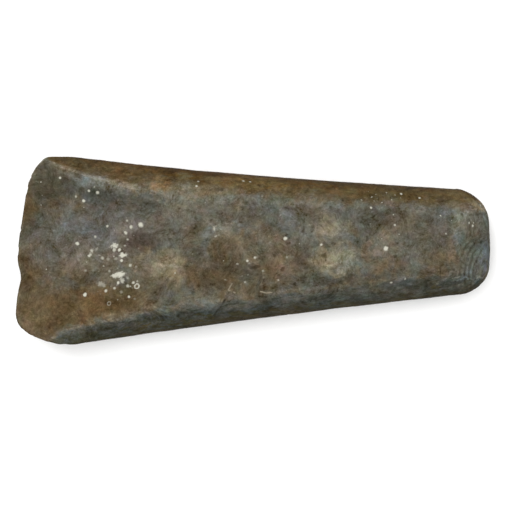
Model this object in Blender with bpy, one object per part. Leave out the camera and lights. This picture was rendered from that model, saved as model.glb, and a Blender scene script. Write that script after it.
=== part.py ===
"""A ground-stone gouge, one solid stone, lying on its back with the scooped face up.

Frame: metres, +Z up. X runs along the tool from the bit (-X) to the poll (+X), Y across it.
The origin is the middle of the footprint, on the plane of the small flat that it rests on.

The face and the back are two grids over one plan. They share the bit edge, both flanks and
the poll's end, so the stone closes without seams. Rows run along the tool and follow the two
crests between the face and the side bevels; columns run across it.
"""

import math

import bmesh
import bpy
import numpy as np

MM = 0.001

# Plan
HALF_LENGTH = 80.0 * MM
MID_HALF_WIDTH = 24.3 * MM
FLANK_TAPER = 0.107  # half-width lost for each unit of length
FLANK_FLARE = 0.2  # slight hollow of the flanks, half-width per length squared, in 1/m
BIT_HALF_WIDTH = 31.45 * MM
FLANK_SHIFT = 0.5 * MM  # the body's middle lies this far to the near side of the bit's

# Bit edge, seen from above
BIT_REACH = 79.25 * MM  # the edge's distance from the origin on the near side
BIT_SWEEP = 0.20  # how fast the edge falls back towards the far corner
BIT_SWEEP_EASE = 4.0 * MM
BIT_LOBE = {"y": -20.5 * MM, "depth": -0.75 * MM, "width": 4.0 * MM}
BIT_NICK = {"y": -8.5 * MM, "depth": 1.25 * MM, "width": 3.2 * MM}
NEAR_CORNER = {"start": 22.5 * MM, "back": 18.5 * MM}
FAR_CORNER = {"start": 20.0 * MM, "back": 6.5 * MM}

# Poll end, seen from above
POLL_BULGE = 1.6 * MM
NEAR_POLL_CORNER = {"start": 0.52, "back": 9.0 * MM}  # start as a share of the half-width
FAR_POLL_CORNER = {"start": 0.44, "back": 9.5 * MM}

# Face: one long arc from end to end, with the scoop sunk into its bit half
TOP_HEIGHT = 31.0 * MM
TOP_X = 8.0 * MM
TOP_ARC_RADIUS = 510.0 * MM
FACE_CROWN = 0.8 * MM
SCOOP_DEPTH = 7.4 * MM
SCOOP_LENGTH = 74.0 * MM
SCOOP_RUN_OUT = 1.6
SCOOP_ROUND = 1.15  # the scoop's section is a cosine to this power, so it flattens out at its lips

CORNER_WEAR = {"depth": 1.6 * MM, "start": 0.75, "length": 9.0 * MM}  # the bit's corners are rubbed down

# Side bevels between the crests and the flanks
NEAR_BEVEL = {"width": 6.9 * MM, "start": 0.5 * MM, "growth": 7.0 * MM}
FAR_BEVEL = {"width": 9.6 * MM, "start": 0.9 * MM, "growth": 20.0 * MM}
BEVEL_STRAIGHT = 0.45  # 1 is a flat bevel, 0 a quarter round
FAR_CREST_FADE = {"start": -48.0 * MM, "length": 50.0 * MM}  # past it the far crest is a plain rounding

# Widest line of the section, the flank
FLANK_HEIGHT = 15.0 * MM
FLANK_DROP_AT_POLL = 2.5 * MM
FLANK_RUN = 34.5 * MM  # it comes down from the bit's corner over this length

# Back
BACK_SINK = 0.6 * MM  # the rounded back would reach this far below the flat it rests on
BACK_ARC_RADIUS = 1500.0 * MM
BACK_LOWEST_X = 5.0 * MM
BACK_ROUND = 2.3
BIT_WEDGE_LENGTH = 47.0 * MM  # the back sweeps up to the edge over this length
FLANK_CLOSE_LENGTH = 3.0 * MM  # next to the flanks it does so over this length
FLANK_CLOSE_POWER = 4.0  # how late across the stone the sweep shortens
POLL_ROCKER_START = 40.0 * MM
POLL_ROCKER_RISE = 3.5 * MM
POLL_BACK_ROUND = 15.0 * MM

# Poll facet, the sloping struck end
FACET_X = 68.4 * MM
FACET_CURVE = 36.0  # how far its top edge bends towards the far corner, per metre
FACET_ANGLE = math.radians(38)
FACET_EASE = 0.9 * MM
POLL_TOP_ROUND = 3.0 * MM

# Grid
COLUMNS = 58
COLUMN_CROWDING = 0.5  # columns stand closer together towards both ends
FACE_ROWS = 13  # from the middle to each crest
BEVEL_ROWS = 6  # from each crest to its flank
SHARP_ANGLE = math.radians(50)  # edges sharper than this are shaded as edges

STONE_COLOUR = (0.125, 0.108, 0.078, 1.0)
STONE_ROUGHNESS = 0.62


def clear_scene():
    for thing in list(bpy.data.objects):
        bpy.data.objects.remove(thing, do_unlink=True)


def bump(y, shape):
    """A smooth rise or dip of the edge around one place."""
    return shape["depth"] * np.exp(-(((y - shape["y"]) / shape["width"]) ** 2))


def corner_fall(distance, radius, back):
    """How far a quarter ellipse falls back, at a distance past its start."""
    share = np.clip(distance / radius, 0.0, 1.0)
    return back * (1.0 - np.sqrt(1.0 - share**2))


def half_width(x):
    flared = MID_HALF_WIDTH - FLANK_TAPER * x + FLANK_FLARE * x**2
    return np.minimum(flared, BIT_HALF_WIDTH)


def middle_line(x):
    """Y of the plan's middle: on the axis at the bit, and to the near side of it from halfway on."""
    share = np.clip((x + HALF_LENGTH) / HALF_LENGTH, 0.0, 1.0)
    return -FLANK_SHIFT * np.sin(0.5 * math.pi * share)


def bit_line(across):
    """X of the bit edge. across runs from -1 at the near flank to 1 at the far flank."""
    y = across * BIT_HALF_WIDTH
    swept = BIT_SWEEP * 0.5 * (y + np.sqrt(y**2 + BIT_SWEEP_EASE**2))
    near = corner_fall(-y - NEAR_CORNER["start"], BIT_HALF_WIDTH - NEAR_CORNER["start"], NEAR_CORNER["back"])
    far = corner_fall(y - FAR_CORNER["start"], BIT_HALF_WIDTH - FAR_CORNER["start"], FAR_CORNER["back"])
    return -BIT_REACH + swept + near + far + bump(y, BIT_LOBE) + bump(y, BIT_NICK)


def poll_line(side, across):
    """X of the poll's end, for points on one side of the middle."""
    corner = FAR_POLL_CORNER if side > 0 else NEAR_POLL_CORNER
    start = corner["start"]
    fall = corner_fall(np.abs(across) - start, 1.0 - start, corner["back"])
    return HALF_LENGTH - POLL_BULGE * across**2 - fall


def crest_share(side, along):
    """Where a crest lies across the plan, as a share of the half-width, at a distance from the bit."""
    bevel = FAR_BEVEL if side > 0 else NEAR_BEVEL
    width = bevel["start"] + bevel["width"] * (1.0 - np.exp(-along / bevel["growth"]))
    return 1.0 - width / half_width(along - HALF_LENGTH + NEAR_CORNER["back"])


def end_round(distance, radius):
    """0 at an end, rising as a quarter circle to 1 at radius from it."""
    share = np.clip(distance / radius, 0.0, 1.0)
    return np.sqrt(1.0 - (1.0 - share) ** 2)


def soft_least(a, b, ease):
    """The smaller of two heights, with the corner between them eased."""
    return 0.5 * (a + b - np.sqrt((a - b) ** 2 + ease**2))


def crest_arc(x):
    """Height of the long arc that the two crests follow."""
    return TOP_HEIGHT - (x - TOP_X) ** 2 / (2.0 * TOP_ARC_RADIUS)


def face_height(x, y, from_bit, to_crest):
    """Height of the face. to_crest is 0 on the middle row and 1 on a crest."""
    depth = np.clip(1.0 - from_bit / SCOOP_LENGTH, 0.0, 1.0) ** SCOOP_RUN_OUT
    scoop = SCOOP_DEPTH * depth * math.cos(0.5 * math.pi * to_crest) ** SCOOP_ROUND
    crown = FACE_CROWN * (1.0 - depth) * (1.0 - to_crest**2)
    top_edge = FACET_X + FACET_CURVE * np.maximum(y, 0.0) ** 2
    facet = crest_arc(top_edge) - math.tan(FACET_ANGLE) * (x - top_edge)
    return soft_least(crest_arc(x) - scoop + crown, facet, FACET_EASE)


def corner_wear(across, from_bit):
    """How much lower the rubbed corners of the bit are."""
    out = np.clip((np.abs(across) - CORNER_WEAR["start"]) / (1.0 - CORNER_WEAR["start"]), 0.0, 1.0)
    return CORNER_WEAR["depth"] * out**2 * np.exp(-((from_bit / CORNER_WEAR["length"]) ** 2))


def row_places():
    """The rows from the near flank to the far flank, as (side, to_crest, past_crest)."""
    bevel = [math.sin(0.5 * math.pi * i / BEVEL_ROWS) for i in range(1, BEVEL_ROWS + 1)]
    face = [i / FACE_ROWS for i in range(1, FACE_ROWS + 1)]
    half = [(share, 0.0) for share in face] + [(1.0, share) for share in bevel]
    near = [(-1, *place) for place in reversed(half)]
    far = [(1, *place) for place in half]
    return near + [(1, 0.0, 0.0)] + far


def column_places():
    """Shares of the length from the bit to the poll."""
    even = np.linspace(0.0, 1.0, COLUMNS + 1)
    return even - COLUMN_CROWDING * np.sin(2.0 * math.pi * even) / (2.0 * math.pi)


def bevel_straightness(side, x):
    """How flat a side bevel is. The far one rounds off along the tool, and its crest fades out."""
    if side < 0:
        return BEVEL_STRAIGHT
    faded = np.clip((x - FAR_CREST_FADE["start"]) / FAR_CREST_FADE["length"], 0.0, 1.0)
    return BEVEL_STRAIGHT * (1.0 - faded)


def bevelled(top, flank, past_crest, straightness):
    """Height of a side bevel that falls from a crest to the flank, steeper towards the flank."""
    share = straightness * (1.0 - past_crest)
    share += (1.0 - straightness) * math.sqrt(max(0.0, 1.0 - past_crest**2))
    return flank + (top - flank) * share


def flank_height(side, x, poll_share):
    """Height of the widest line: the crest's at the bit's corner, and from there down to the body's."""
    body = FLANK_HEIGHT - FLANK_DROP_AT_POLL * poll_share**2
    corner = bit_line(side * crest_share(side, 0.0))
    from_corner = np.maximum(x - corner, 0.0)
    run = np.clip(1.0 - from_corner / FLANK_RUN, 0.0, 1.0) ** 2
    return body + (crest_arc(x) - CORNER_WEAR["depth"] - body) * run


def wedge_length(across):
    """How far from the bit the back starts to sweep up to it."""
    inner = 1.0 - np.abs(across) ** FLANK_CLOSE_POWER
    return FLANK_CLOSE_LENGTH + (BIT_WEDGE_LENGTH - FLANK_CLOSE_LENGTH) * inner


def rounded_back(x, across, to_poll, flank, poll_share):
    """Height of the rounded back, before it sweeps up to the bit."""
    lowest = (x - BACK_LOWEST_X) ** 2 / (2.0 * BACK_ARC_RADIUS) - BACK_SINK
    lowest += POLL_ROCKER_RISE * poll_share**2
    section = np.sqrt(1.0 - np.abs(across) ** BACK_ROUND)
    return flank - (flank - lowest) * section * end_round(to_poll, POLL_BACK_ROUND)


def stone_row(side, to_crest, past_crest, along_share):
    """The points of one row: x, y, and the heights of face and back."""
    run = along_share * (2.0 * HALF_LENGTH - NEAR_CORNER["back"])
    crest = crest_share(side, run)
    across = side * (to_crest * crest + past_crest * (1.0 - crest))
    start = bit_line(across[0])
    end = poll_line(side, across[-1])
    x = start + (end - start) * along_share
    y = middle_line(x) + half_width(x) * across
    from_bit = x - bit_line(across)
    to_poll = end - x

    poll_share = np.clip((x - POLL_ROCKER_START) / (HALF_LENGTH - POLL_ROCKER_START), 0.0, 1.0)
    flank = flank_height(side, x, poll_share)
    top = face_height(x, y, from_bit, to_crest) - corner_wear(across, from_bit)
    face = bevelled(top, flank, past_crest, bevel_straightness(side, x))
    face = flank + (face - flank) * end_round(to_poll, POLL_TOP_ROUND)

    wedge = np.clip(1.0 - from_bit / wedge_length(across), 0.0, 1.0) ** 2
    back = rounded_back(x, across, to_poll, flank, poll_share)
    back = back + (face[0] - back) * wedge
    return x, y, face, back


def grind_rest_flat(bm):
    """Cut the rounded back off at z = 0, and close it with one flat face."""
    everything = bm.verts[:] + bm.edges[:] + bm.faces[:]
    cut = bmesh.ops.bisect_plane(
        bm,
        geom=everything,
        plane_co=(0.0, 0.0, 0.0),
        plane_no=(0.0, 0.0, -1.0),
        clear_outer=True,
    )
    rim = [piece for piece in cut["geom_cut"] if isinstance(piece, bmesh.types.BMEdge)]
    bmesh.ops.edgeloop_fill(bm, edges=rim)


def centre_footprint(bm):
    xs = [vert.co.x for vert in bm.verts]
    ys = [vert.co.y for vert in bm.verts]
    shift = (-0.5 * (min(xs) + max(xs)), -0.5 * (min(ys) + max(ys)), 0.0)
    bmesh.ops.translate(bm, verts=bm.verts, vec=shift)


def add_stone(name):
    rows = row_places()
    along = column_places()
    bm = bmesh.new()
    face_grid = []
    back_grid = []
    for number, (side, to_crest, past_crest) in enumerate(rows):
        x, y, face, back = stone_row(side, to_crest, past_crest, along)
        on_flank = number in (0, len(rows) - 1)
        face_row = [bm.verts.new(place) for place in zip(x, y, face)]
        back_row = []
        for column, place in enumerate(zip(x, y, back)):
            shared = on_flank or column in (0, COLUMNS)
            back_row.append(face_row[column] if shared else bm.verts.new(place))
        face_grid.append(face_row)
        back_grid.append(back_row)
    for row in range(len(rows) - 1):
        for column in range(COLUMNS):
            for grid, order in ((face_grid, 1), (back_grid, -1)):
                quad = (
                    grid[row][column],
                    grid[row][column + 1],
                    grid[row + 1][column + 1],
                    grid[row + 1][column],
                )
                bm.faces.new(quad[::order])
    grind_rest_flat(bm)
    centre_footprint(bm)
    bmesh.ops.recalc_face_normals(bm, faces=bm.faces)
    mesh = bpy.data.meshes.new(name)
    bm.to_mesh(mesh)
    bm.free()
    mesh.shade_smooth()
    mesh.set_sharp_from_angle(angle=SHARP_ANGLE)
    stone = bpy.data.objects.new(name, mesh)
    bpy.context.scene.collection.objects.link(stone)
    return stone


def stone_material():
    material = bpy.data.materials.new("ground_stone")
    material.use_nodes = True
    shader = material.node_tree.nodes["Principled BSDF"]
    shader.inputs["Base Color"].default_value = STONE_COLOUR
    shader.inputs["Roughness"].default_value = STONE_ROUGHNESS
    shader.inputs["Metallic"].default_value = 0.0
    return material


def main():
    clear_scene()
    gouge = add_stone("gouge")
    gouge.data.materials.append(stone_material())


main()
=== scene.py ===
import math

import bmesh
import bpy
import numpy as np
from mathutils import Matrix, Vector, noise
from mathutils.bvhtree import BVHTree


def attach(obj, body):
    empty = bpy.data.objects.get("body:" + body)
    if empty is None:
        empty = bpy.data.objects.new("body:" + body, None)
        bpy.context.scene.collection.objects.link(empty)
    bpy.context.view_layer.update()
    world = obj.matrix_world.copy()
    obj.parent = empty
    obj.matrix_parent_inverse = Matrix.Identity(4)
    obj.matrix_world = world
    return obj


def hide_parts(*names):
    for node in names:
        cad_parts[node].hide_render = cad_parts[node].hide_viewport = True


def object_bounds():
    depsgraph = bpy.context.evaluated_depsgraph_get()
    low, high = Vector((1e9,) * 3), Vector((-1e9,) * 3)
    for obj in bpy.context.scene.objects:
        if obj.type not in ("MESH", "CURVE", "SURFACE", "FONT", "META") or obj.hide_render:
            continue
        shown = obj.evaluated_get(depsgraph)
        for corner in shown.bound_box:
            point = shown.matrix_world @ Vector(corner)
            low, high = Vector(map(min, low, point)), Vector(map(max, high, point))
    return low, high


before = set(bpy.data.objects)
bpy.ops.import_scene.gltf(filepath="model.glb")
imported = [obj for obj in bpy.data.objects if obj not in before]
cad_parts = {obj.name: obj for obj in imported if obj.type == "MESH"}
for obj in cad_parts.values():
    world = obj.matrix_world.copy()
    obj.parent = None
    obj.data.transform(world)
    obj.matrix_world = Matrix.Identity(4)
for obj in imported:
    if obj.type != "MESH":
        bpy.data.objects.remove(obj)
cadLow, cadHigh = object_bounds()
mm = 0.001  # sizes below are in millimetres, and places in shares of the tool
bitX = cadLow.x / mm
length = (cadHigh.x - cadLow.x) / mm
halfWidth = (cadHigh.y - cadLow.y) / mm / 2


def spot(along, across):  # 0 to 1 from the bit to the poll, and -1 to 1 from the near side to the far side
    return bitX + along * length, across * halfWidth


def smoothStep(low, high, value):
    share = np.clip((value - low) / (high - low), 0.0, 1.0)
    return share * share * (3.0 - 2.0 * share)


def noiseField(places, size, octaves=1, seed=0, stretch=(1.0, 1.0, 1.0)):
    shift = Vector((13.7 * seed, 5.3 * seed, 8.9 * seed))
    scaled = places / (np.array(stretch) * size)
    return np.array([noise.fractal(Vector(point) + shift, 1.0, 2.0, octaves) for point in scaled])


socketKinds = {"value": "NodeSocketFloat", "vector": "NodeSocketVector", "colour": "NodeSocketColor"}


def feed(tree, socket, value):
    if isinstance(value, bpy.types.NodeSocket):
        tree.links.new(value, socket)
    else:
        socket.default_value = value


def addNode(tree, kind, inputs=None, **settings):
    node = tree.nodes.new(kind)
    for name, value in settings.items():
        setattr(node, name, value)
    for name, value in (inputs or {}).items():
        feed(tree, node.inputs[name], value)
    return node


def newGroup(name, inputs, outputs):
    group = bpy.data.node_groups.new(name, "ShaderNodeTree")
    for label, (kind, value) in inputs.items():
        socket = group.interface.new_socket(label, in_out="INPUT", socket_type=socketKinds[kind])
        socket.default_value = value
    for label, kind in outputs.items():
        group.interface.new_socket(label, in_out="OUTPUT", socket_type=socketKinds[kind])
    return group, addNode(group, "NodeGroupInput").outputs, addNode(group, "NodeGroupOutput").inputs


def maths(tree, operation, first, second=0.0):
    return addNode(tree, "ShaderNodeMath", {0: first, 1: second}, operation=operation).outputs[0]


def vectors(tree, operation, first, second, third=(0.0, 0.0, 0.0)):
    node = addNode(tree, "ShaderNodeVectorMath", {0: first, 1: second, 2: third}, operation=operation)
    return node.outputs[0]


def mixed(tree, share, first, second, blend="MIX"):
    node = addNode(tree, "ShaderNodeMix", data_type="RGBA", blend_type=blend)
    for index, value in ((0, share), (6, first), (7, second)):
        feed(tree, node.inputs[index], (*value, 1.0) if isinstance(value, tuple) else value)
    return node.outputs[2]


def ranged(tree, value, low, high, toLow=0.0, toHigh=1.0):
    inputs = dict(enumerate((value, low, high, toLow, toHigh)))
    return addNode(tree, "ShaderNodeMapRange", inputs, interpolation_type="SMOOTHSTEP").outputs[0]


def attribute(tree, name):
    return addNode(tree, "ShaderNodeAttribute", attribute_name=name).outputs["Fac"]


# a soft-edged patch of patina, an oval seen from above that fades towards the back
patch, enter, leave = newGroup(
    "patinaPatch",
    {"Place": ("vector", (0, 0, 0)), "Centre": ("vector", (0, 0, 0)), "Size": ("vector", (1, 1, 1)),
     "Turn": ("value", 0.0), "Softness": ("value", 0.5)},
    {"Mask": "value"},
)
offset = vectors(patch, "SUBTRACT", enter["Place"], enter["Centre"])
turned = addNode(patch, "ShaderNodeVectorRotate", {"Vector": offset, "Angle": enter["Turn"]},
                 rotation_type="Z_AXIS")
scaled = vectors(patch, "DIVIDE", turned.outputs[0], enter["Size"])
reach = addNode(patch, "ShaderNodeVectorMath", {0: scaled}, operation="LENGTH").outputs["Value"]
outer = maths(patch, "ADD", 1.0, enter["Softness"])
inner = maths(patch, "SUBTRACT", 1.0, enter["Softness"])
feed(patch, leave["Mask"], ranged(patch, reach, outer, inner))

# one noise cut off at a level: flecks and streaks
flecks, enter, leave = newGroup(
    "flecks",
    {"Place": ("vector", (0, 0, 0)), "Size": ("vector", (1, 1, 1)), "Turn": ("value", 0.0),
     "Seed": ("value", 0.0), "Low": ("value", 0.5), "High": ("value", 0.6)},
    {"Mask": "value"},
)
turned = addNode(flecks, "ShaderNodeVectorRotate", {"Vector": enter["Place"], "Angle": enter["Turn"]},
                 rotation_type="Z_AXIS")
scaled = vectors(flecks, "DIVIDE", turned.outputs[0], enter["Size"])
shifted = vectors(flecks, "ADD", scaled, enter["Seed"])
grainy = addNode(flecks, "ShaderNodeTexNoise",
                 {"Vector": shifted, "Scale": 1.0, "Detail": 3.0, "Roughness": 0.6})
feed(flecks, leave["Mask"], ranged(flecks, grainy.outputs["Fac"], enter["Low"], enter["High"]))


gouge = {  # sizes in millimetres
    "mesh": {
        "weld": 0.02,
        "joinAngles": (0.5, 1.2),  # radians
        "sharpAngle": 50.0,  # degrees
        "levels": 2,
        "longest": 1.05,
        "rounds": 2,
        "fine": 0.34,  # under the marks and scores, edges longer than this are cut
        "cuts": 2,
        "markMargin": (1.15, 0.25),
        "scoreMargin": 0.4,
    },
    "relief": {  # size and height of each kind of unevenness
        "swell": (15.0, 0.13),
        "waver": (5.0, 0.06),
        "pecking": (1.7, 0.045),
        "striae": (1.2, 0.010),
        "pits": (2.4, 0.12),
        "crustAndGlints": 0.07,
    },
    "striaeStretch": (9.0, 1.0, 1.0),
    "striaeTilt": (0.55, 0.9),  # only the face that looks up was ground lengthways
    "pitLevel": (0.42, 0.8),
    "scoopRun": (-10.0, -45.0),  # along the tool, where the ground scoop begins and is whole
    "scoopSmooth": 0.6,  # its share of the pits that the grinding took away
    "crestShift": {"size": 9.0, "reach": 0.45, "tilt": (0.35, 0.7)},  # the hand-ground crests waver
    "filmStart": (2.0, 11.0),  # behind the bit's tip, where the side films begin and are whole
    "filmLean": {"far": 0.15, "near": 0.4, "run": (-10.0, -50.0)},  # nearer the crests at the bit's end
    "nearCrest": {  # the crest up to the near corner of the bit, past which the side is dark
        "line": (
            (0.06, -0.97), (0.083, -0.918), (0.095, -0.883), (0.117, -0.837), (0.144, -0.798),
            (0.172, -0.770), (0.197, -0.752), (0.228, -0.734), (0.27, -0.715),
        ),
        "until": (-42.0, -50.0),
        "film": (-0.8, 1.0, 0.80),
        "filmEdge": 0.4,
        "filmStart": (5.0, 14.0),
        "ridge": (0.7, 0.14),
        # a pale line along the near crest, partly wear and partly painted highlight
        "wearHighlight": (0.6, 0.07),
    },
    # how pale the crests are painted: partly wear, partly painted highlight
    "crestWearHighlight": {"rounds": 6, "far": 0.85, "near": 0.35, "tilt": (-0.02, 0.2)},
    "proudRounds": 8,
    "rim": {"tilt": (0.62, 0.12), "pollTilt": (0.5, 0.9), "pollShare": 0.7},  # the steep sides, darkened as painted shade, less so on the poll's end
    "bitChips": {"size": 2.2, "level": (0.1, 0.6), "deep": 0.3, "reach": 1.6},
    "pollScar": {  # ripples of the blow that took the flake off the poll
        "centre": (1.03, -0.34),
        "radii": (9.5, 18.5),
        "innerFade": 3.0,
        "outerFade": (0.8, -2.0),
        "spacing": 1.7,
        "height": 0.035,
        "end": 5.5,
        "endFade": 6.0,
        "tilt": (0.3, 0.6),
        "patchy": {"size": 3.0, "level": (-0.7, 0.3)},
        "waver": {"size": 4.0, "reach": 0.5},
    },
    "steepest": 0.25,  # marks stay off the sides that are steeper than this
    "ragged": {"size": 0.6, "crustAndGlints": 0.5, "rings": 0.2, "dots": 0.25, "specks": 0.35},
    "markEdge": (1.3, 0.3),  # shares of a mark's half size where it begins and is whole
    "markReach": (1.6, 0.4),
    "ringLine": {"radius": 0.78, "edge": (0.42, 0.1)},
    "crustAndGlints": {  # place, half sizes, turn in degrees, strength
        "wedge": ((0.212, 0.036), (1.5, 0.95), 0, 0.85),
        "wedgeTip": ((0.211, 0.000), (0.75, 0.9), 0, 0.7),
        "brightOval": ((0.229, -0.065), (1.6, 0.75), 5, 1.0),
        "brokenPatch": ((0.221, -0.262), (2.1, 1.15), 8, 0.95),
        "patchEnd": ((0.211, -0.285), (1.2, 1.0), 0, 0.8),
        "patchLobe": ((0.226, -0.335), (1.0, 1.3), 10, 0.6),
        "faintPatch": ((0.181, -0.368), (1.6, 1.15), 25, 0.45),
        "faintLobe": ((0.188, -0.387), (1.0, 0.8), 0, 0.4),
        "tallDot": ((0.164, -0.008), (0.75, 0.9), -20, 0.6),
        "tallFoot": ((0.160, -0.045), (0.6, 0.6), 0, 0.65),
        "arcTop": ((0.175, 0.010), (0.55, 0.9), -25, 0.4),
        "arcFoot": ((0.181, -0.060), (1.0, 0.5), -25, 0.35),
        "nickTop": ((0.421, 0.184), (0.35, 0.8), 12, 0.6),
        "nickFoot": ((0.424, 0.108), (0.6, 0.32), 20, 0.5),
        "nickSide": ((0.431, 0.120), (0.32, 0.5), -30, 0.4),
        # the glint and the two bars below are painted highlights on the poll, drawn as crust marks
        "pollGlint": ((0.978, 0.370), (0.6, 0.8), -30, 0.55),
        "nearBarHighlight": ((0.923, -0.392), (2.3, 0.62), 3, 0.34),
        "tipBarHighlight": ((0.971, -0.388), (1.3, 0.6), 5, 0.34),
        "nearCrestOval": ((0.815, -0.394), (0.4, 0.75), -25, 0.6),
    },
    "rings": {
        "ring": ((0.257, -0.393), (0.95, 0.95), 0, 0.7),
        "smallRing": ((0.198, -0.577), (0.75, 0.75), 0, 0.4),
        "faintRing": ((0.152, -0.137), (0.8, 0.8), 0, 0.22),
    },
    "dots": {  # place, radius, strength
        "cluster": (
            (0.240, 0.30, 0.50, 0.55), (0.198, 0.24, 0.60, 0.65), (0.248, 0.23, 0.75, 0.75),
            (0.268, 0.25, 1.00, 0.90), (0.236, 0.17, 0.70, 0.75), (0.240, 0.10, 0.50, 0.55),
            (0.172, 0.14, 0.60, 0.60), (0.234, 0.03, 0.50, 0.50), (0.222, -0.01, 0.60, 0.95),
            (0.158, -0.06, 0.60, 0.75), (0.186, -0.09, 0.75, 0.55), (0.226, -0.12, 0.55, 0.95),
            (0.198, -0.10, 0.75, 0.35), (0.214, -0.10, 0.70, 0.40), (0.244, -0.17, 0.70, 0.60),
            (0.256, -0.19, 0.60, 0.35), (0.150, -0.22, 0.65, 0.40), (0.200, -0.23, 0.60, 0.45),
            (0.238, -0.30, 0.65, 0.40), (0.218, -0.36, 0.65, 0.85), (0.238, -0.39, 0.75, 0.60),
            (0.250, -0.35, 0.65, 0.75), (0.192, -0.44, 0.65, 0.75), (0.210, -0.42, 0.60, 0.60),
            (0.148, -0.48, 0.75, 1.00), (0.224, -0.46, 0.75, 0.35), (0.240, -0.51, 0.55, 0.80),
            (0.134, 0.07, 0.75, 0.95),
        ),
        "farCorner": (
            (0.102, 0.77, 0.50, 0.80), (0.162, 0.62, 0.60, 0.70), (0.180, 0.60, 0.70, 0.70),
            (0.134, 0.57, 0.50, 0.60), (0.150, 0.52, 0.65, 0.90),
        ),
        "farSide": (
            (0.390, 0.70, 0.45, 0.70), (0.386, 0.65, 0.50, 0.90), (0.484, 0.69, 0.50, 0.75),
            (0.498, 0.68, 0.50, 0.70),
        ),
        "middle": (
            (0.488, -0.16, 0.50, 0.90), (0.504, -0.12, 0.50, 0.80), (0.570, -0.13, 0.50, 0.45),
            (0.468, -0.19, 0.45, 0.45), (0.520, -0.26, 0.45, 0.60), (0.482, -0.39, 0.45, 0.50),
            (0.568, 0.07, 0.75, 0.90), (0.642, 0.00, 0.50, 0.80),
        ),
        "towardsPoll": (
            (0.748, 0.37, 0.50, 0.80), (0.812, 0.51, 0.50, 0.80), (0.850, 0.46, 0.50, 0.80),
            (0.796, 0.18, 0.50, 0.60), (0.892, 0.26, 0.35, 0.70), (0.902, 0.07, 0.40, 0.60),
        ),
        "faint": (
            (0.174, 0.66, 0.40, 0.45), (0.150, 0.45, 0.40, 0.35), (0.136, -0.10, 0.65, 0.30),
            (0.150, -0.22, 0.60, 0.28), (0.166, -0.22, 0.65, 0.24), (0.252, -0.53, 0.55, 0.30),
            (0.216, 0.25, 0.60, 0.22), (0.236, -0.29, 0.65, 0.30), (0.258, -0.34, 0.50, 0.50),
        ),
        "pollEnd": (
            (0.960, 0.15, 0.55, 0.85), (0.952, 0.18, 0.45, 0.65), (0.962, 0.18, 0.40, 0.60),
        ),
        "nearCrest": ((0.786, -0.43, 0.55, 0.70),),
        "bright": ((0.776, -0.07, 0.90, 1.00),),
    },
    "specks": {  # scattered: place, spread, how many
        "seed": 7,
        "clusters": (
            ((0.21, -0.15), (7.5, 8.0), 26),
            ((0.06, 0.6), (0.6, 3.0), 4),
            ((0.49, -0.15), (8.0, 4.0), 10),
            ((0.74, 0.60), (7.0, 1.6), 16),
            ((0.82, 0.30), (14.0, 6.0), 10),
            ((0.50, 0.10), (40.0, 12.0), 26),
            ((0.765, 0.48), (4.5, 1.3), 34),
        ),
        "radius": (0.14, 0.36),
        "mostlySmall": 1.8,
        "longer": 0.5,
        "strength": (0.2, 0.75),
    },
    "scores": {  # points, half width, depth, and tone: light above 0 and dark below
        "pollCrease": (((0.955, 0.268), (0.97, 0.262), (0.990, 0.276)), 0.65, 0.15, -0.3),
        "nearGroove": (((0.448, -0.496), (0.436, -0.60), (0.417, -0.716)), 0.42, 0.12, -0.6),
        "grooveLip": (((0.443, -0.50), (0.430, -0.60)), 0.3, 0.0, 0.4),
        "grooveFork": (((0.455, -0.40), (0.447, -0.47), (0.461, -0.50)), 0.30, 0.04, 0.7),
        "hook": (((0.520, -0.282), (0.519, -0.36), (0.513, -0.419)), 0.24, 0.04, 0.9),
        "hookFoot": (((0.514, -0.490), (0.525, -0.505), (0.537, -0.497)), 0.27, 0.05, 0.85),
        "hookShade": (((0.512, -0.535), (0.525, -0.55)), 0.35, 0.03, -0.5),
        "hairA": (((0.814, -0.27), (0.815, -0.36)), 0.18, 0.04, -0.5),
        "hairB": (((0.847, -0.28), (0.848, -0.36)), 0.18, 0.04, -0.35),
        "hairC": (((0.888, -0.26), (0.889, -0.38)), 0.22, 0.06, -0.65),
        "smear": (((0.436, 0.150), (0.450, 0.142), (0.463, 0.131)), 0.45, 0.0, 0.35),
        "scratchTop": (((0.355, 0.262), (0.372, 0.268), (0.392, 0.262)), 0.24, 0.02, 0.3),
        "scratchA": (((0.414, 0.245), (0.420, 0.19)), 0.28, 0.02, 0.85),
        "scratchB": (((0.426, 0.215), (0.416, 0.165)), 0.22, 0.02, 0.8),
        "scratchC": (((0.432, 0.205), (0.448, 0.190)), 0.28, 0.02, 0.6),
    },
    "scoreEdge": (1.25, 0.3),
    "scoreRagged": {"size": 0.9, "reach": 0.3},
    "scoreBroken": {"size": 1.6, "level": (-0.5, 0.3), "least": 0.4},
    "patina": {  # colours as the eye reads them in the studio, 0 to 255
        "lampGain": 1.62,  # how much the lamps lift a colour on the face
        "lampSheen": 0.005,
        "darkest": 0.004,
        "bareStone": (95, 93, 84),
        "earthFilm": (100, 90, 73),
        "earthPatches": {"size": 7.0, "level": (0.40, 0.60)},
        "films": {  # outward tilt where each begins and is whole, strength, colour; the dark near films are partly the stone's colour and partly painted shade
            "farOchre": (0.33, 0.80, 0.95, (88, 74, 51)),
            "farEdge": (0.78, 0.93, 0.95, (86, 65, 34)),
            "nearTeal": (-0.42, -0.74, 0.85, (85, 86, 79)),
            "nearSlateShade": (-0.70, -0.84, 0.95, (72, 73, 66)),
            "nearEdgeShade": (-0.87, -0.96, 0.95, (67, 63, 43)),
        },
        "filmEdge": {"size": 2.4, "stretch": (1.6, 1.0, 1.0), "reach": 0.14},
        # the crests' pale colour, partly wear and partly painted highlight
        "wornHighlight": (140, 133, 119),
        "wornHighlightLevel": (0.04, 0.12, 0.75),
        "wornHighlightRagged": 0.2,
        "crustAndGlints": (214, 212, 196),
        "crustAndGlintLevel": (0.05, 0.95),
        "groove": (40, 36, 30),
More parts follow.
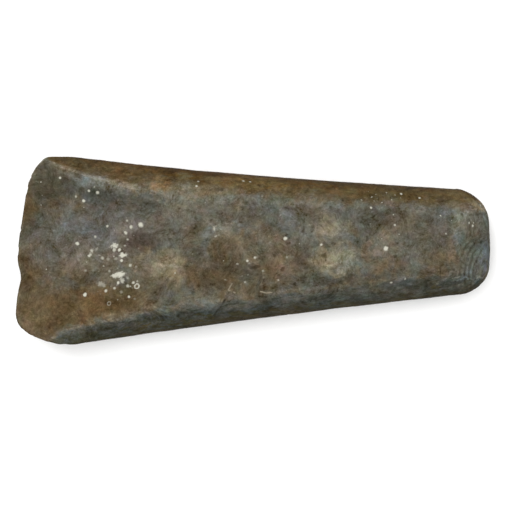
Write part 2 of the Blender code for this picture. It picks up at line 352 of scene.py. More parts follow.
        "scratch": (160, 150, 130),
        "scoreLevel": (0.05, 0.9, 0.9),
        "roughness": (0.55, 0.78),
        "specular": 0.02,
        "grain": {"size": 0.5, "height": 0.05, "strength": 0.6},
        "patchDrift": {"size": 4.0, "reach": 9.0},  # so the patches' edges run unevenly
        "patchDepth": (22.0, 24.0),  # height of the patches' middles, and how deep down they reach
        "patches": {  # place, half sizes, turn in degrees, softness, strength, colour
            "bitBand": ((0.018, 0.25), (6.0, 26.0), 0, 0.5, 0.85, (90, 78, 58)),
            "bitHaze": ((0.055, 0.0), (6.0, 9.0), 0, 0.7, 0.7, (110, 103, 93)),
            "bitFoot": ((0.045, -0.62), (10.0, 12.0), 0, 0.6, 0.9, (98, 82, 59)),
            "cornerBrown": ((0.115, -0.735), (7.5, 2.6), 14, 0.6, 0.9, (88, 72, 50)),
            # a paler band under the far crest: partly the stone's colour, partly a painted sheen
            "innerSlopeSheen": ((0.187, 0.668), (15.5, 2.2), -17, 0.6, 0.9, (110, 109, 102)),
            "darkCorner": ((0.080, 0.76), (5.6, 6.2), 0, 0.6, 0.95, (80, 73, 58)),
            # painted shade along the hollow under the far crest's inner slope
            "hollowShade": ((0.220, 0.545), (17.0, 2.2), -9, 0.7, 0.9, (79, 79, 72)),
            "scoopGrey": ((0.185, 0.22), (16.0, 7.5), 0, 0.6, 0.9, (106, 103, 98)),
            "scoopPale": ((0.115, 0.03), (6.0, 6.0), 0, 0.7, 0.8, (114, 107, 98)),
            "clusterHaze": ((0.205, -0.10), (9.0, 8.0), 0, 0.9, 0.5, (116, 110, 99)),
            "scoopFoot": ((0.19, -0.55), (17.0, 5.5), 5, 0.6, 0.95, (98, 80, 55)),
            "stain": ((0.268, 0.08), (6.0, 3.2), 0, 0.7, 0.95, (77, 70, 65)),
            "greyMiddle": ((0.330, 0.15), (4.5, 4.0), 0, 0.8, 0.7, (107, 104, 95)),
            "warmPatch": ((0.327, -0.185), (5.0, 5.2), 25, 0.7, 0.95, (142, 130, 108)),
            "warmTail": ((0.270, -0.16), (5.0, 2.2), 15, 0.8, 0.7, (120, 110, 92)),
            "greyShoulder": ((0.355, 0.40), (6.5, 3.5), -10, 0.8, 0.8, (119, 117, 104)),
            "greyBand": ((0.60, 0.33), (48.0, 4.5), -2, 0.7, 0.7, (99, 97, 89)),
            "paleScratch": ((0.428, 0.16), (4.8, 2.6), 0, 0.8, 0.85, (128, 121, 106)),
            "darkMiddle": ((0.395, -0.24), (6.0, 2.8), -12, 0.8, 0.6, (84, 80, 68)),
            "oliveFoot": ((0.44, -0.30), (10.5, 5.0), 5, 0.8, 0.85, (84, 74, 57)),
            "brownMiddle": ((0.555, -0.08), (9.0, 7.0), 0, 0.8, 0.75, (114, 101, 81)),
            "pinkStreak": ((0.560, -0.14), (2.6, 8.0), 0, 0.8, 0.6, (117, 98, 80)),
            "plumSpot": ((0.605, -0.13), (2.4, 3.6), 0, 0.7, 0.75, (84, 73, 64)),
            "creamTop": ((0.662, 0.16), (5.5, 3.2), 0, 0.7, 0.9, (136, 131, 112)),
            "crestPale": ((0.325, 0.575), (3.6, 1.5), -8, 0.8, 0.7, (124, 119, 105)),
            "creamCrest": ((0.442, 0.464), (2.8, 1.5), -5, 0.8, 0.6, (117, 111, 93)),
            "oliveTop": ((0.553, 0.455), (4.8, 2.0), -4, 0.8, 0.9, (90, 87, 72)),
            "dullShoulder": ((0.375, 0.50), (3.0, 2.2), 0, 0.8, 0.6, (98, 95, 84)),
            "paleTop": ((0.588, 0.349), (3.2, 2.6), 0, 0.8, 0.95, (110, 108, 102)),
            "paleMiddle": ((0.350, 0.07), (3.0, 2.6), -20, 0.8, 0.6, (112, 106, 93)),
            "tanSpot": ((0.484, 0.02), (2.6, 2.0), 0, 0.8, 0.6, (116, 107, 90)),
            "dullSpot": ((0.535, -0.22), (3.0, 2.4), 0, 0.8, 0.9, (93, 79, 59)),
            "dullFoot": ((0.458, -0.46), (2.6, 2.2), 0, 0.8, 0.6, (92, 86, 72)),
            "creamFoot": ((0.668, -0.17), (7.0, 4.4), 8, 0.7, 0.95, (152, 141, 117)),
            "peach": ((0.775, -0.07), (5.5, 4.0), 0, 0.8, 0.85, (124, 110, 90)),
            "slateTop": ((0.80, 0.27), (17.0, 3.0), -3, 0.8, 0.7, (90, 88, 81)),
            "slatePoll": ((0.865, 0.10), (8.0, 7.0), 0, 0.9, 0.7, (101, 100, 93)),
            "greyRight": ((0.845, -0.07), (7.5, 4.5), 0, 0.8, 0.6, (104, 103, 94)),
            "greySpot": ((0.867, -0.08), (2.6, 2.4), 0, 0.8, 0.7, (84, 83, 76)),
            "pollFacet": ((0.962, 0.0), (6.0, 14.0), 0, 0.35, 0.85, (104, 105, 97)),
            "facetTop": ((0.948, 0.16), (5.5, 6.0), 0, 0.6, 0.85, (113, 114, 107)),
            "brownStrip": ((0.914, -0.06), (1.7, 7.0), 0, 0.7, 0.8, (110, 98, 83)),
            "pollTeal": ((0.952, -0.04), (2.0, 3.6), 0, 0.8, 0.75, (79, 87, 79)),
            "pollOlive": ((0.930, 0.20), (2.2, 2.6), 0, 0.8, 0.8, (120, 119, 103)),
        },
        "sidePatches": {  # the same, over the films
            "farGold": ((0.51, 0.68), (13.0, 2.2), -2, 0.8, 0.7, (106, 89, 58)),
            "farPoll": ((0.80, 0.53), (26.0, 3.2), 0, 0.8, 0.9, (85, 72, 48)),
            "farTip": ((0.935, 0.50), (7.0, 3.0), -12, 0.7, 0.8, (86, 75, 52)),
            "farBit": ((0.20, 0.86), (14.0, 3.0), -8, 0.6, 0.6, (98, 82, 58)),
            "cornerOlive": ((0.135, -0.925), (9.0, 1.6), 8, 0.7, 0.85, (66, 62, 44)),
            "cornerSlate": ((0.12, -0.875), (6.0, 1.0), 14, 0.8, 0.6, (78, 77, 66)),
            "rustSpot": ((0.309, 0.665), (2.5, 2.1), 20, 0.9, 0.85, (134, 103, 67)),
            "crestCream": ((0.39, 0.60), (11.0, 1.9), -5, 0.8, 0.7, (118, 108, 86)),
            "nearShade": ((0.70, -0.40), (18.0, 1.7), 3, 0.8, 0.75, (78, 79, 74)),
            "nearPale": ((0.62, -0.455), (4.0, 1.6), 0, 0.8, 0.7, (98, 96, 90)),
            # painted highlights on the poll's near edge and its corner
            "nearPollHighlight": ((0.932, -0.42), (3.0, 0.7), 2, 0.8, 0.75, (120, 125, 120)),
            "pollTipHighlight": ((0.974, -0.41), (1.3, 0.9), 20, 0.8, 0.8, (126, 130, 126)),
            "pollSheen": ((0.985, -0.22), (1.3, 5.6), -4, 0.6, 0.85, (112, 112, 113)),
            # a painted highlight on the poll's far corner
            "pollCornerHighlight": ((0.977, 0.36), (1.9, 1.4), -35, 0.8, 0.95, (158, 142, 114)),
            "pollBrown": ((0.938, 0.37), (5.5, 1.8), -4, 0.7, 0.85, (93, 84, 69)),
            "tipShade": ((0.974, -0.44), (1.6, 0.8), 15, 0.8, 0.8, (62, 68, 62)),
            "nearMiddle": ((0.515, -0.585), (5.0, 1.6), 4, 0.8, 0.7, (90, 90, 84)),
            "tanFoot": ((0.35, -0.56), (12.0, 1.7), 5, 0.8, 0.8, (107, 98, 79)),
            "footGrey": ((0.605, -0.40), (4.5, 2.4), 3, 0.8, 0.75, (102, 98, 85)),
            "nearRight": ((0.722, -0.575), (14.0, 1.6), 4, 0.8, 0.7, (82, 82, 74)),
        },
        "warmth": {
            "size": 9.0, "detail": 2.2, "rough": 0.52, "stretch": (1.3, 1.0, 1.0),
            "warm": (1.11, 0.97, 0.80), "cool": (0.88, 1.04, 1.18),
        },
        "tinge": {"size": 3.2, "detail": 2.0, "rough": 0.5, "strength": 0.28},
        "cloud": {"size": 8.0, "detail": 5.0, "rough": 0.97, "strength": 3.85, "tint": (0.93, 1.0, 1.2)},
        "flecks": {  # size, turn, seed, low and high level, strength, tint
            "lightStreak": ((2.0, 1.2, 1.0), 0, 3.0, 0.54, 0.70, 0.5, (1.45, 1.48, 1.57)),
            "darkStreak": ((0.9, 2.2, 1.1), 8, 11.0, 0.54, 0.70, 0.45, (0.64, 0.62, 0.56)),
            "tanFleck": ((1.0, 1.0, 0.9), 0, 23.0, 0.58, 0.70, 0.6, (1.53, 1.46, 1.40)),
            "darkFleck": ((0.9, 0.9, 0.8), 30, 31.0, 0.57, 0.70, 0.55, (0.62, 0.6, 0.54)),
            "paleFleck": ((0.6, 0.6, 0.5), 0, 47.0, 0.60, 0.72, 0.5, (1.68, 1.72, 1.85)),
        },
        "pitTint": (0.4, (0.5, 0.48, 0.44)),
        "tints": {  # the shape each follows, where it begins and is whole, tint; upstanding points paler, partly wear and partly painted highlight, and hollows darker; ripple tops get painted highlight and ripple feet painted shade
            "hollow": ("proud", -0.01, -0.08, (0.61, 0.58, 0.51)),
            "upstandingHighlight": ("proud", 0.01, 0.08, (1.31, 1.32, 1.36)),
            "rippleHighlight": ("scar", 0.1, 0.9, (1.24, 1.22, 1.16)),
            "rippleShade": ("scar", -0.1, -0.9, (0.76, 0.70, 0.61)),
        },
        "rimTint": (0.60, 0.48, 0.27),
    },
}


def fineCopy(source):
    settings = gouge["mesh"]
    faceAngle, shapeAngle = settings["joinAngles"]
    work = bmesh.new()
    work.from_mesh(source.data)
    bmesh.ops.remove_doubles(work, verts=work.verts, dist=settings["weld"] * mm)
    bmesh.ops.join_triangles(
        work, faces=work.faces, angle_face_threshold=faceAngle, angle_shape_threshold=shapeAngle
    )
    crease = work.edges.layers.float.new("crease_edge")
    for edge in work.edges:
        if edge.calc_face_angle(0.0) > math.radians(settings["sharpAngle"]):
            edge[crease] = 1.0
    mesh = bpy.data.meshes.new("groundStone")
    work.to_mesh(mesh)
    work.free()
    piece = bpy.data.objects.new("groundStone", mesh)
    bpy.context.scene.collection.objects.link(piece)
    soften = piece.modifiers.new("soften", "SUBSURF")
    soften.levels = soften.render_levels = settings["levels"]
    bpy.context.view_layer.update()
    graph = bpy.context.evaluated_depsgraph_get()
    piece.data = bpy.data.meshes.new_from_object(piece.evaluated_get(graph))
    piece.modifiers.clear()
    piece.data.name = "groundStone"
    evenUp(piece.data)
    return piece


def cutEdges(work, edges, cuts):
    bmesh.ops.subdivide_edges(work, edges=edges, cuts=cuts, use_grid_fill=True)
    bmesh.ops.triangulate(work, faces=[face for face in work.faces if len(face.verts) > 4])


def evenUp(mesh):  # splits the edges that are still long, so that the relief is equally fine everywhere
    work = bmesh.new()
    work.from_mesh(mesh)
    for _ in range(gouge["mesh"]["rounds"]):
        longest = gouge["mesh"]["longest"] * mm
        cutEdges(work, [edge for edge in work.edges if edge.calc_length() > longest], 1)
    work.to_mesh(mesh)
    work.free()


def readPlaces(mesh):  # in millimetres
    places = np.empty(len(mesh.vertices) * 3, np.float32)
    mesh.vertices.foreach_get("co", places)
    return places.reshape(-1, 3).astype(float) / mm


def readNormals(mesh):
    normals = np.empty(len(mesh.vertices) * 3, np.float32)
    mesh.vertex_normals.foreach_get("vector", normals)
    return normals.reshape(-1, 3).astype(float)


def writePlaces(mesh, places):
    mesh.vertices.foreach_set("co", (places * mm).astype(np.float32).ravel())
    mesh.update()


def fitToCad(mesh):  # the subdivision draws the rounded sides in a little
    places = readPlaces(mesh)
    low, high = places.min(0), places.max(0)
    share = (places - low) / (high - low)
    writePlaces(mesh, (np.array(cadLow) + share * (np.array(cadHigh) - np.array(cadLow))) / mm)


def placeMarks(mesh):  # finds each mark's place on the face, from above
    cast = bmesh.new()
    cast.from_mesh(mesh)
    tree = BVHTree.FromBMesh(cast)
    cast.free()
    edges = gouge["ragged"]
    marks = []

    def mark(x, y, size, turn, strength, ragged, ring=False):
        hit, normal = tree.ray_cast(Vector((x * mm, y * mm, 2 * cadHigh.z)), Vector((0.0, 0.0, -1.0)))[:2]
        if hit is not None and normal.z > gouge["steepest"]:
            marks.append((np.array(hit) / mm, normal, size, turn, strength, ragged, ring))

    for place, size, turn, strength in gouge["crustAndGlints"].values():
        mark(*spot(*place), size, turn, strength, edges["crustAndGlints"])
    for place, size, turn, strength in gouge["rings"].values():
        mark(*spot(*place), size, turn, strength, edges["rings"], ring=True)
    for group in gouge["dots"].values():
        for along, across, radius, strength in group:
            mark(*spot(along, across), (radius, radius), 0, strength, edges["dots"])
    specks = gouge["specks"]
    chance = np.random.default_rng(specks["seed"])
    least, most = specks["radius"]
    weak, strong = specks["strength"]
    for place, spread, count in specks["clusters"]:
        for _ in range(count):
            x, y = spot(*place) + chance.normal(size=2) * spread
            radius = least + (most - least) * chance.random() ** specks["mostlySmall"]
            longer = 1.0 + specks["longer"] * chance.random()
            turn = 180.0 * chance.random()
            strength = weak + (strong - weak) * chance.random()
            mark(x, y, (radius * longer, radius), turn, strength, edges["specks"])
    return marks


def scoreDistance(places, points):  # seen from above
    best = np.full(len(places), np.inf)
    ends = np.array([spot(*point) for point in points])
    for start, end in zip(ends[:-1], ends[1:]):
        run = end - start
        share = np.clip(((places[:, :2] - start) @ run) / (run @ run), 0.0, 1.0)
        best = np.minimum(best, np.linalg.norm(places[:, :2] - start - share[:, None] * run, axis=1))
    return best


def refineAt(mesh, marks):  # cuts the stone finer under the marks, the scores and the poll's scar
    settings = gouge["mesh"]
    work = bmesh.new()
    work.from_mesh(mesh)
    work.faces.ensure_lookup_table()
    work.edges.ensure_lookup_table()
    centres = np.array([face.calc_center_median() for face in work.faces]) / mm
    up = np.array([face.normal.z for face in work.faces]) > 0.0
    chosen = np.zeros(len(centres), bool)
    share, extra = settings["markMargin"]
    for hit, _, size, *_ in marks:
        chosen |= ((centres - hit) ** 2).sum(1) < (max(size) * share + extra) ** 2
    x, y = spot(*gouge["pollScar"]["centre"])
    chosen |= up & (np.hypot(centres[:, 0] - x, centres[:, 1] - y) < gouge["pollScar"]["radii"][1])
    for points, width, _, _ in gouge["scores"].values():
        chosen |= up & (scoreDistance(centres, points) < width + settings["scoreMargin"])
    near = {edge.index for index in np.flatnonzero(chosen) for edge in work.faces[index].edges}
    edges = [work.edges[index] for index in sorted(near)]
    cutEdges(work, [edge for edge in edges if edge.calc_length() > settings["fine"] * mm], settings["cuts"])
    work.to_mesh(mesh)
    work.free()


def crustAndGlintCover(places, marks):
    ring = gouge["ringLine"]
    share, extra = gouge["markReach"]
    cover = np.zeros(len(places))
    for number, (hit, normal, size, turn, strength, ragged, isRing) in enumerate(marks):
        away = places - hit
        near = np.flatnonzero((away**2).sum(1) < (max(size) * share + extra) ** 2)
        if not len(near):
            continue
        side = Vector((math.cos(math.radians(turn)), math.sin(math.radians(turn)), 0.0))
        side = (side - normal * side.dot(normal)).normalized()
        u = away[near] @ np.array(side) / size[0]
        v = away[near] @ np.array(normal.cross(side)) / size[1]
        uneven = noiseField(places[near], gouge["ragged"]["size"], 2, seed=number + 3)
        reach = np.hypot(u, v) + ragged * uneven
        mask = smoothStep(*gouge["markEdge"], reach)
        if isRing:
            mask = smoothStep(*ring["edge"], np.abs(reach - ring["radius"]))
        cover[near] = np.maximum(cover[near], mask * strength)
    return cover


def scoreCover(places, normals):
    depth = np.zeros(len(places))
    tone = np.zeros(len(places))
    ragged = gouge["scoreRagged"]["reach"] * noiseField(places, gouge["scoreRagged"]["size"], 2, seed=9)
    gaps = gouge["scoreBroken"]
    broken = smoothStep(*gaps["level"], noiseField(places, gaps["size"], 2, seed=10))
    broken = gaps["least"] + (1.0 - gaps["least"]) * broken
    for points, width, deep, light in gouge["scores"].values():
        mask = smoothStep(*gouge["scoreEdge"], scoreDistance(places, points) / width + ragged)
        mask *= broken * (normals[:, 2] > 0.0)
        depth = np.maximum(depth, mask * deep)
        tone += mask * light
    return depth, tone


def setAttribute(mesh, name, values):
    layer = mesh.attributes.new(name, "FLOAT", "POINT")
    layer.data.foreach_set("value", values.astype(np.float32))


def proudOf(mesh, places, normals, rounds):  # how far each point stands out of the smoothed surface
    ends = np.empty(len(mesh.edges) * 2, np.int32)
    mesh.edges.foreach_get("vertices", ends)
    ends = ends.reshape(-1, 2)
    counts = np.bincount(ends.ravel(), minlength=len(places)).astype(float)
    smooth = places.copy()
    for _ in range(rounds):
        for axis in range(3):
            total = np.bincount(ends[:, 0], smooth[ends[:, 1], axis], len(places))
            total += np.bincount(ends[:, 1], smooth[ends[:, 0], axis], len(places))
            smooth[:, axis] = total / counts
    return ((places - smooth) * normals).sum(1)


def ripples(places, normals):
    scar = gouge["pollScar"]
    x, y = spot(*scar["centre"])
    reach = np.hypot(places[:, 0] - x, places[:, 1] - y)
    inner, outer = scar["radii"]
    past, within = scar["outerFade"]
    mask = smoothStep(inner - scar["innerFade"], inner + scar["innerFade"], reach)
    mask *= smoothStep(outer + past, outer + within, reach)
    mask *= smoothStep(scar["end"], scar["end"] - scar["endFade"], places[:, 1])
    mask *= smoothStep(*scar["tilt"], normals[:, 2])
    mask *= smoothStep(*scar["patchy"]["level"], noiseField(places, scar["patchy"]["size"], 2, seed=14))
    waver = scar["waver"]["reach"] * noiseField(places, scar["waver"]["size"], 2, seed=12)
    return mask * np.cos(2.0 * math.pi * (reach + waver) / scar["spacing"])


def bitEdge(places):  # where the bit's edge lies, found millimetre by millimetre across
    slots = np.round(places[:, 1] + halfWidth).astype(int)
    edge = np.full(slots.max() + 1, np.inf)
    np.minimum.at(edge, slots, places[:, 0])
    known = np.flatnonzero(np.isfinite(edge))
    return np.interp(places[:, 1] + halfWidth, known, edge[known])


def pastCrest(places):  # how far outside the near crest each point lies, seen from above
    line = np.array([spot(*point) for point in gouge["nearCrest"]["line"]])
    return np.interp(places[:, 0], line[:, 0], line[:, 1]) - places[:, 1]


def ridgeAt(past, width):  # 1 on the near crest, fading to both sides of it
    return np.exp(-((past / width) ** 2))


def filmReach(places, normals, past, cornerward):  # how far each point faces out, minus on the near side
    side = np.sign(places[:, 1])
    behind = places[:, 0] - bitX
    lean = gouge["filmLean"]
    leaning = np.where(side > 0.0, lean["far"], lean["near"]) * smoothStep(*lean["run"], places[:, 0])
    outward = np.clip(normals[:, 1] * side, 0.0, 1.0) * smoothStep(*gouge["filmStart"], behind)
    outward = outward ** (1.0 / (1.0 + leaning))
    crest = gouge["nearCrest"]
    begins, whole, high = crest["film"]
    cornerFilm = outward * smoothStep(begins, crest["filmEdge"], past)
    cornerFilm = np.maximum(high * smoothStep(begins, whole, past), cornerFilm)
    cornerFilm *= smoothStep(*crest["filmStart"], behind)
    return side * outward + (-cornerFilm - side * outward) * cornerward


# how pale each crest is painted, partly as wear and partly as a painted highlight
def crestWearHighlight(mesh, places, normals, outward, past, cornerward):
    wearHighlight = gouge["crestWearHighlight"]
    side = np.sign(places[:, 1])
    crestHighlight = proudOf(mesh, places, normals, wearHighlight["rounds"]) * smoothStep(*gouge["scoopRun"], places[:, 0])
    crestHighlight *= smoothStep(*wearHighlight["tilt"], outward * side) * np.where(side > 0.0, wearHighlight["far"], wearHighlight["near"])
    width, strength = gouge["nearCrest"]["wearHighlight"]
    return crestHighlight + (strength * ridgeAt(past, width) - crestHighlight) * cornerward


# painted shade on the steep sides, less on the poll's end
def steepShadeMask(normals):
    rim = gouge["rim"]
    poll = rim["pollShare"] * smoothStep(*rim["pollTilt"], normals[:, 0])
    return smoothStep(*rim["tilt"], np.abs(normals[:, 2])) * (1.0 - poll)


def stoneRelief(places, normals):  # the height of the unevenness, and the pits in it
    relief = gouge["relief"]
    height = np.zeros(len(places))
    for seed, name in enumerate(("swell", "waver", "pecking"), 1):
        size, high = relief[name]
        height += high * noiseField(places, size, 3, seed)
    faceUp = smoothStep(*gouge["striaeTilt"], normals[:, 2])
    size, high = relief["striae"]
    height += high * faceUp * noiseField(places, size, 2, 4, gouge["striaeStretch"])
    size, deep = relief["pits"]
    ground = gouge["scoopSmooth"] * faceUp * smoothStep(*gouge["scoopRun"], places[:, 0])
    pits = smoothStep(*gouge["pitLevel"], noiseField(places, size, 2, seed=5)) * (1.0 - ground)
    return height - deep * pits, pits


def waverCrests(moved, places, normals):
    shift = gouge["crestShift"]
    waver = shift["reach"] * noiseField(places, shift["size"], 2, seed=6)
    moved[:, 1] += waver * smoothStep(*shift["tilt"], normals[:, 2])


def chipBit(moved, places):
    chips = gouge["bitChips"]
    level = smoothStep(*chips["level"], noiseField(places * (0.0, 1.0, 0.0), chips["size"], 3, seed=8))
    moved[:, 0] += chips["deep"] * level * smoothStep(chips["reach"], 0.0, places[:, 0] - bitEdge(places))


def carve(mesh, marks):
    places = readPlaces(mesh)
    normals = readNormals(mesh)
    past = pastCrest(places)
    cornerward = smoothStep(*gouge["nearCrest"]["until"], places[:, 0]) * (places[:, 1] < 0.0)
    outward = filmReach(places, normals, past, cornerward)
    scar = ripples(places, normals)
    setAttribute(mesh, "outward", outward)
    setAttribute(mesh, "crestHighlight", crestWearHighlight(mesh, places, normals, outward, past, cornerward))
    setAttribute(mesh, "rim", steepShadeMask(normals))
    setAttribute(mesh, "scar", scar)

    height, pits = stoneRelief(places, normals)
    crustAndGlints = crustAndGlintCover(places, marks)
    depth, tone = scoreCover(places, normals)
    width, high = gouge["nearCrest"]["ridge"]
    height += gouge["relief"]["crustAndGlints"] * crustAndGlints - depth + gouge["pollScar"]["height"] * scar
    height += high * ridgeAt(past, width) * cornerward
    setAttribute(mesh, "pit", pits)
    setAttribute(mesh, "crustAndGlints", crustAndGlints)
    setAttribute(mesh, "score", tone)

    moved = places + normals * height[:, None]
    waverCrests(moved, places, normals)
    chipBit(moved, places)
    moved = np.clip(moved, np.array(cadLow) / mm, np.array(cadHigh) / mm)
    writePlaces(mesh, moved)
    setAttribute(mesh, "proud", proudOf(mesh, moved, readNormals(mesh), gouge["proudRounds"]))


stone = fineCopy(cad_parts["gouge"])
fitToCad(stone.data)
print("fine copy of the stone:", len(stone.data.vertices), "points")

marks = placeMarks(stone.data)
refineAt(stone.data, marks)
carve(stone.data, marks)
stone.data.shade_smooth()
triangles = sum(len(face.vertices) - 2 for face in stone.data.polygons)
print("carved the relief and", len(marks), "crust marks:", triangles, "triangles")


def paint(colour):  # the base colour that shows as this colour on the face
    patina = gouge["patina"]
    linear = [(((value / 255) + 0.055) / 1.055) ** 2.4 for value in colour]
    base = [(value - patina["lampSheen"]) / patina["lampGain"] for value in linear]
    return tuple(max(patina["darkest"], value) for value in base)


def stoneMaterial():
    patina = gouge["patina"]
    material = bpy.data.materials.new("groundStone")
    material.use_nodes = True
    tree = material.node_tree
    tree.nodes.clear()
    usual = (0.3, 0.7)  # most of a noise lies between these
    own = addNode(tree, "ShaderNodeTexCoord").outputs["Object"]
    place = vectors(tree, "DIVIDE", own, (mm, mm, mm))

    def cloud(size, detail, rough, seed, stretch=(1.0, 1.0, 1.0)):
        scale = [1.0 / (size * share) for share in stretch]
        shift = vectors(tree, "MULTIPLY_ADD", place, scale, (seed, seed, seed))
        inputs = {"Vector": shift, "Scale": 1.0, "Detail": detail, "Roughness": rough, "Distortion": 0.4}
        return addNode(tree, "ShaderNodeTexNoise", inputs)

    def spread(value, toLow, toHigh):  # a cloud's middle half, spread in a straight line
        inputs = dict(enumerate((value, 0.25, 0.75, toLow, toHigh)))
        return addNode(tree, "ShaderNodeMapRange", inputs).outputs[0]

    def tinted(share, colour, tint):
        return mixed(tree, share, colour, tint, "MULTIPLY")

    drift = patina["patchDrift"]
    wander = vectors(tree, "SUBTRACT", cloud(drift["size"], 2.0, 0.6, 0.0).outputs["Color"], (0.5, 0.5, 0.5))
    drifted = vectors(tree, "MULTIPLY_ADD", wander, (drift["reach"], drift["reach"], 0.0), place)

    def patched(colour, patches):
        middle, deep = patina["patchDepth"]
        for name, (where, size, turn, softness, strength, shade) in patches.items():
            mask = addNode(tree, "ShaderNodeGroup", node_tree=patch, label=name)
            feed(tree, mask.inputs["Place"], drifted)
            mask.inputs["Centre"].default_value = (*spot(*where), middle)
            mask.inputs["Size"].default_value = (*size, deep)
            mask.inputs["Turn"].default_value = math.radians(-turn)
            mask.inputs["Softness"].default_value = softness
            colour = mixed(tree, maths(tree, "MULTIPLY", mask.outputs[0], strength), colour, paint(shade))
        return colour

    earth = patina["earthPatches"]
    broad = ranged(tree, cloud(earth["size"], 2.0, 0.6, 0.0).outputs["Fac"], *earth["level"])
    colour = mixed(tree, broad, paint(patina["bareStone"]), paint(patina["earthFilm"]))
    colour = patched(colour, patina["patches"])

    edge = patina["filmEdge"]
    ragged = cloud(edge["size"], 3.0, 0.65, 5.0, edge["stretch"]).outputs["Fac"]
    ragged = ranged(tree, ragged, *usual, -edge["reach"], edge["reach"])
    outward = maths(tree, "ADD", attribute(tree, "outward"), ragged)
    # side films; the dark near ones are partly painted shade
    for begins, whole, strength, shade in patina["films"].values():
        colour = mixed(tree, ranged(tree, outward, begins, whole, 0.0, strength), colour, paint(shade))
    # paler crests, partly wear and partly painted highlight
    ragged = maths(tree, "MULTIPLY", ragged, patina["wornHighlightRagged"])
    crestHighlight = maths(tree, "ADD", attribute(tree, "crestHighlight"), ragged)
    begins, whole, strength = patina["wornHighlightLevel"]
    colour = mixed(tree, ranged(tree, crestHighlight, begins, whole, 0.0, strength), colour, paint(patina["wornHighlight"]))
    colour = patched(colour, patina["sidePatches"])

    warmth = patina["warmth"]
    blend = cloud(warmth["size"], warmth["detail"], warmth["rough"], 3.0, warmth["stretch"]).outputs["Fac"]
    tint = mixed(tree, spread(blend, 0.0, 1.0), warmth["cool"], warmth["warm"])
    colour = tinted(1.0, colour, tint)
    tinge = patina["tinge"]
    hue = cloud(tinge["size"], tinge["detail"], tinge["rough"], 17.0).outputs["Color"]
    steady = 1.0 - 0.5 * tinge["strength"]
    tint = vectors(tree, "MULTIPLY_ADD", hue, [tinge["strength"]] * 3, [steady] * 3)
    colour = tinted(1.0, colour, tint)
    shading = patina["cloud"]
    light = cloud(shading["size"], shading["detail"], shading["rough"], 9.0).outputs["Fac"]
    half = 0.25 * shading["strength"]
    shade = vectors(tree, "MULTIPLY_ADD", spread(light, -half, half), shading["tint"], (1.0, 1.0, 1.0))
    colour = tinted(1.0, colour, shade)
    for name, (size, turn, seed, low, high, strength, tint) in patina["flecks"].items():
        mask = addNode(tree, "ShaderNodeGroup", node_tree=flecks, label=name)
        feed(tree, mask.inputs["Place"], place)
        mask.inputs["Size"].default_value = size
        mask.inputs["Turn"].default_value = math.radians(turn)
        mask.inputs["Seed"].default_value = seed
        mask.inputs["Low"].default_value = low
        mask.inputs["High"].default_value = high
        colour = tinted(maths(tree, "MULTIPLY", mask.outputs[0], strength), colour, tint)

    share, tint = patina["pitTint"]
    colour = tinted(maths(tree, "MULTIPLY", attribute(tree, "pit"), share), colour, tint)
    # paler upstanding points, partly painted highlight; darker hollows; painted highlight and shade on the
    # ripples
    for shape, begins, whole, tint in patina["tints"].values():
        colour = tinted(ranged(tree, attribute(tree, shape), begins, whole), colour, tint)
    # painted shade: the steep sides darkened, less so on the poll's end
    colour = tinted(attribute(tree, "rim"), colour, patina["rimTint"])
    score = attribute(tree, "score")
    begins, whole, strength = patina["scoreLevel"]
    dark = ranged(tree, score, -begins, -whole, 0.0, strength)
    colour = mixed(tree, dark, colour, paint(patina["groove"]))
    light = ranged(tree, score, begins, whole, 0.0, strength)
    colour = mixed(tree, light, colour, paint(patina["scratch"]))
    # white crust, and painted highlights drawn as crust marks
    crustAndGlints = ranged(tree, attribute(tree, "crustAndGlints"), *patina["crustAndGlintLevel"])
    colour = mixed(tree, crustAndGlints, colour, paint(patina["crustAndGlints"]))

    grain = cloud(patina["grain"]["size"], 3.0, 0.6, 13.0).outputs["Fac"]
    bump = addNode(tree, "ShaderNodeBump", {"Height": grain, "Distance": patina["grain"]["height"] * mm,
                                            "Strength": patina["grain"]["strength"]})
    rough = ranged(tree, grain, *usual, *patina["roughness"])
    inputs = {"Base Color": colour, "Roughness": rough, "Normal": bump.outputs[0]}
    shader = addNode(tree, "ShaderNodeBsdfPrincipled", inputs)
    shader.inputs["Specular IOR Level"].default_value = patina["specular"]
    addNode(tree, "ShaderNodeOutputMaterial", {"Surface": shader.outputs[0]})
    return material


stone.data.materials.clear()
stone.data.materials.append(stoneMaterial())
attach(stone, "root")
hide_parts("gouge")
print("finish made")


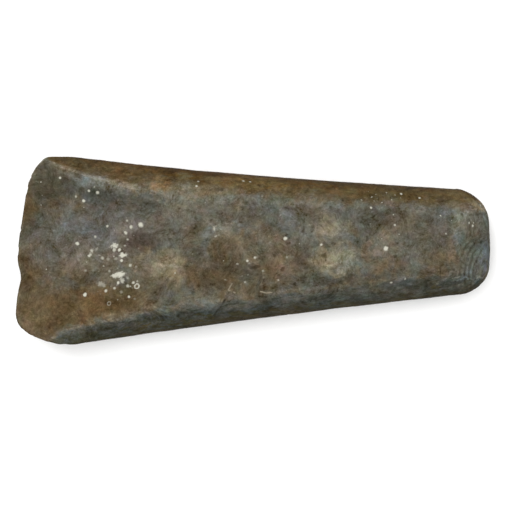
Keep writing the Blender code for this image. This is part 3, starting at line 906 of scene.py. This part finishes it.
studio = {
    "floor": 6.0,  # metres across
    "floorColour": (0.97, 0.97, 0.965),
    "floorDust": 0.985,  # the dusty places' share of that colour
    "skyStrength": 0.45,
    "lamps": {  # place in metres, size, power in watts
        "keyLamp": ((-0.5, 0.7, 1.2), 1.0, 9.0),
        "topLamp": ((0.0, 0.0, 1.5), 1.3, 22.0),
    },
    "lens": 250.0,
    "frameWidth": 171.74 * mm,
    "focusHeight": 18.0 * mm,
    "aim": (1.0 * mm, -3.44 * mm),
    "roll": 1.45,  # degrees
}


def makeFloor():
    work = bmesh.new()
    bmesh.ops.create_grid(work, x_segments=1, y_segments=1, size=studio["floor"] / 2)
    mesh = bpy.data.meshes.new("floor")
    work.to_mesh(mesh)
    work.free()
    floor = bpy.data.objects.new("floor", mesh)
    bpy.context.scene.collection.objects.link(floor)
    material = bpy.data.materials.new("paleFloor")
    material.use_nodes = True
    tree = material.node_tree
    shader = tree.nodes["Principled BSDF"]
    haze = addNode(tree, "ShaderNodeTexNoise", {"Scale": 3.0, "Detail": 2.0}).outputs["Fac"]
    dusty = tuple(studio["floorDust"] * value for value in studio["floorColour"])
    feed(tree, shader.inputs["Base Color"], mixed(tree, haze, studio["floorColour"], dusty))
    shader.inputs["Roughness"].default_value = 0.9
    shader.inputs["Specular IOR Level"].default_value = 0.1
    mesh.materials.append(material)


def makeLamps():
    for name, (place, size, power) in studio["lamps"].items():
        light = bpy.data.lights.new(name, "AREA")
        light.shape = "DISK"
        light.size = size
        light.energy = power
        lamp = bpy.data.objects.new(name, light)
        lamp.location = place
        lamp.rotation_euler = (-Vector(place)).to_track_quat("-Z", "Y").to_euler()
        bpy.context.scene.collection.objects.link(lamp)
    world = bpy.data.worlds.new("studio")
    world.use_nodes = True
    sky = world.node_tree.nodes["Background"]
    sky.inputs["Color"].default_value = (1.0, 1.0, 1.0, 1.0)
    sky.inputs["Strength"].default_value = studio["skyStrength"]
    bpy.context.scene.world = world


def makeCamera():
    view = bpy.data.cameras.new("camera")
    view.lens = studio["lens"]
    view.sensor_width = 36.0
    view.clip_end = 20.0
    camera = bpy.data.objects.new("camera", view)
    away = studio["frameWidth"] * view.lens / view.sensor_width
    camera.location = (*studio["aim"], studio["focusHeight"] + away)
    camera.rotation_euler = (0.0, 0.0, math.radians(-studio["roll"]))
    bpy.context.scene.collection.objects.link(camera)
    bpy.context.scene.camera = camera


makeFloor()
makeLamps()
makeCamera()
bpy.context.scene.view_settings.view_transform = "Standard"
print("studio set")
